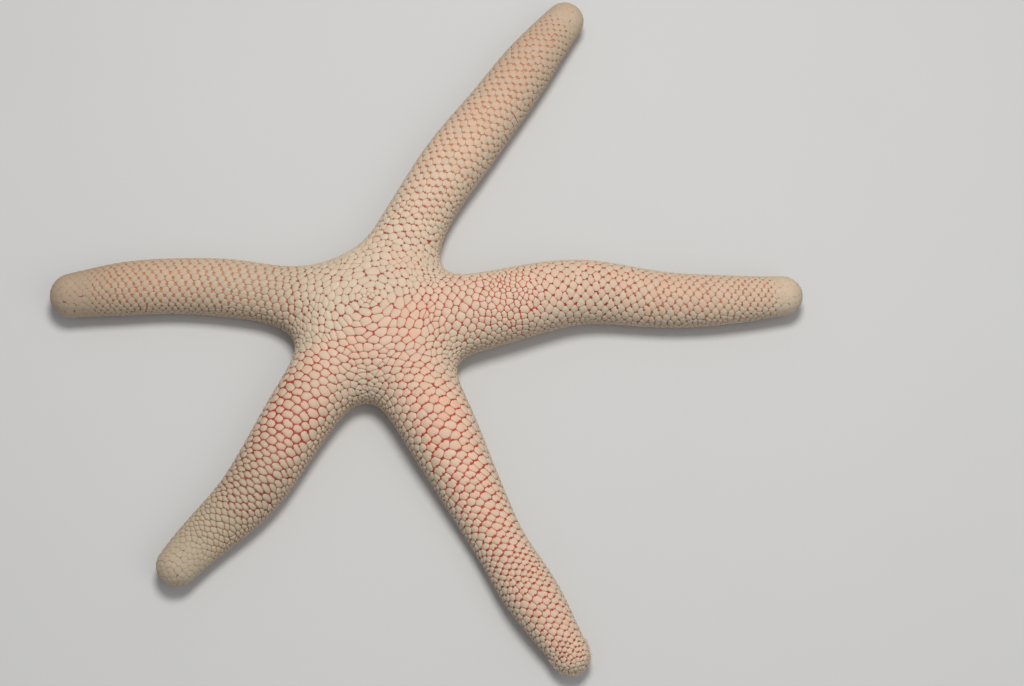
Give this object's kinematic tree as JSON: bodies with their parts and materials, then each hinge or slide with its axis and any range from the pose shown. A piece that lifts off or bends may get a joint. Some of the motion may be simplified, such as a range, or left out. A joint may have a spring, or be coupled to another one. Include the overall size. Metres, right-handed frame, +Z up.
{
  "type": "starfish",
  "caption": "Starfish with long finger-like arms paved all over with close-set convex plates, resting on its flat, grooved underside.",
  "frame": {"origin": "middle of the footprint, on the surface it rests on", "axes": "+Z up out of the back of the disc, +Y away along the arm that points up in the reference view, +X to the right along the longest arm"},
  "size_m": [0.1329, 0.1288, 0.0106],
  "materials": {
    "disc_plates": "matte calcite plates, peach in the middle and cream at the edge",
    "arm_plates": "matte calcite plates, peach along the back and cream grey on the sides",
    "tip_plates": "matte small plates, tan at the arm's tip",
    "skin": "soft matte orange-red skin in the gaps between plates",
    "spinelets": "matte cream spinelets beside the grooves and mouth",
    "tube_feet": "soft, slightly glossy pale amber tube feet"
  },
  "bodies": {
    "root": {"disc": "disc_plates", "arm_1_base": "arm_plates", "arm_1_middle": "arm_plates", "arm_1_tip": "tip_plates", "arm_2_base": "arm_plates", "arm_2_middle": "arm_plates", "arm_2_tip": "tip_plates", "arm_3_base": "arm_plates", "arm_3_middle": "arm_plates", "arm_3_tip": "tip_plates", "arm_4_base": "arm_plates", "arm_4_middle": "arm_plates", "arm_4_tip": "tip_plates", "arm_5_base": "arm_plates", "arm_5_middle": "arm_plates", "arm_5_tip": "tip_plates"}
  },
  "joints": []
}
